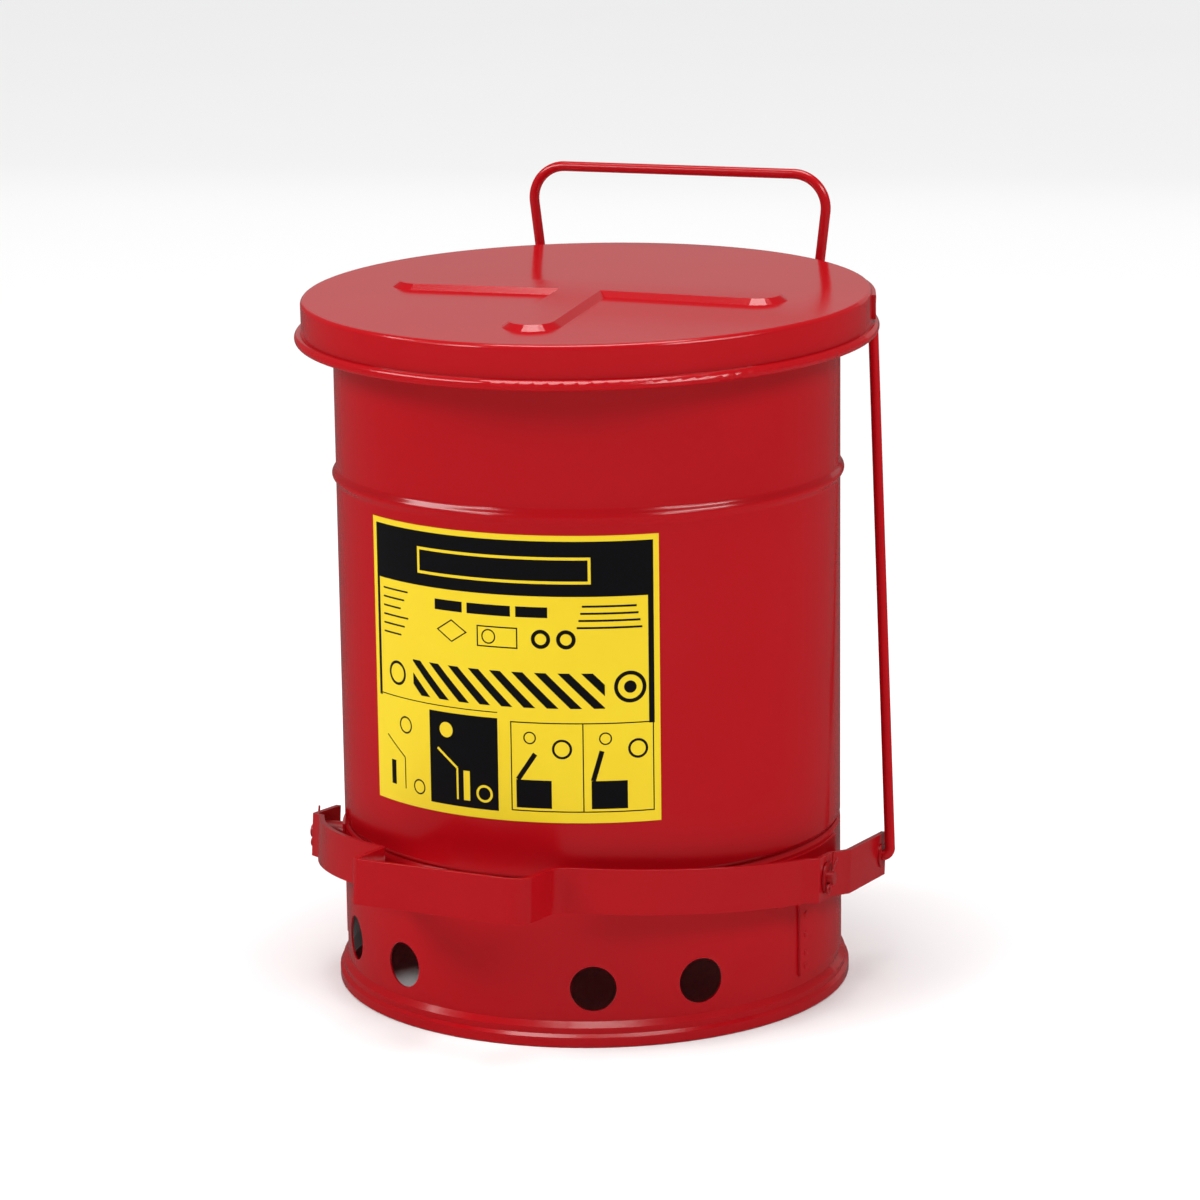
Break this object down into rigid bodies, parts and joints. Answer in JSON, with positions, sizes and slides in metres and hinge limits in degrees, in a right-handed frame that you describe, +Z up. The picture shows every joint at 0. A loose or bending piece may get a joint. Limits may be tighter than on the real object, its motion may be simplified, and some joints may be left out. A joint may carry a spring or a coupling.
{
  "type": "oily waste can",
  "caption": "Round foot-operated safety can for oily rags: vented foot ring, raised bottom, tilting lid linked to a pedal bar by a side rod, and a fixed wire handle behind the lid.",
  "frame": {"origin": "centre of the foot ring, on the floor", "axes": "+Z up; the step faces -Y; the lid's hinge is at +Y; the link rod is on the +X side"},
  "size_m": [0.3376, 0.369, 0.455],
  "materials": {
    "can_red": "gloss",
    "lid_red": "gloss",
    "pedal_red": "gloss",
    "wire_red": "gloss",
    "fastener_red": "satin",
    "label_yellow": "satin"
  },
  "bodies": {
    "can": {"body_shell": "can_red", "base_skirt": "can_red", "raised_bottom": "can_red", "label": "label_yellow", "pivot_bracket_left": "can_red", "pivot_bracket_right": "can_red", "pivot_stud_left": "fastener_red", "pivot_stud_right": "fastener_red", "pivot_washer_left": "fastener_red", "pivot_washer_right": "fastener_red", "pivot_cotter_left": "fastener_red", "pivot_cotter_right": "fastener_red", "hinge_bracket_left": "can_red", "hinge_bracket_right": "can_red", "hinge_pin_left": "fastener_red", "hinge_pin_right": "fastener_red", "carry_handle": "wire_red"},
    "lid": {"lid_pan": "lid_red", "hinge_strap": "lid_red", "hinge_ear_left": "lid_red", "hinge_ear_right": "lid_red", "rod_lug": "lid_red", "strap_rivets": "fastener_red"},
    "pedal": {"pedal_bar": "pedal_red"},
    "rod": {"link_rod": "wire_red", "rod_washer_lower": "fastener_red", "rod_washer_upper": "fastener_red", "rod_cotter_lower": "fastener_red", "rod_cotter_upper": "fastener_red"}
  },
  "joints": [
    {"name": "lid_hinge", "type": "hinge", "parent": "can", "child": "lid", "pos_m": [0, 0.151, 0.392], "axis": [-1, 0, 0], "range_deg": [0, 60]},
    {"name": "pedal_pivot", "type": "hinge", "parent": "can", "child": "pedal", "pos_m": [0, -0.042, 0.0804], "axis": [1, 0, 0], "range_deg": [0, 28.2]},
    {"name": "rod_pivot", "type": "hinge", "parent": "pedal", "child": "rod", "pos_m": [0.168, 0.046, 0.06944], "axis": [-1, 0, 0], "range_deg": [0, 29.2]}
  ],
  "couplings": [
    {"joint": "pedal_pivot", "follows": "lid_hinge", "ratio": 0.46987},
    {"joint": "rod_pivot", "follows": "lid_hinge", "ratio": 0.48591}
  ]
}
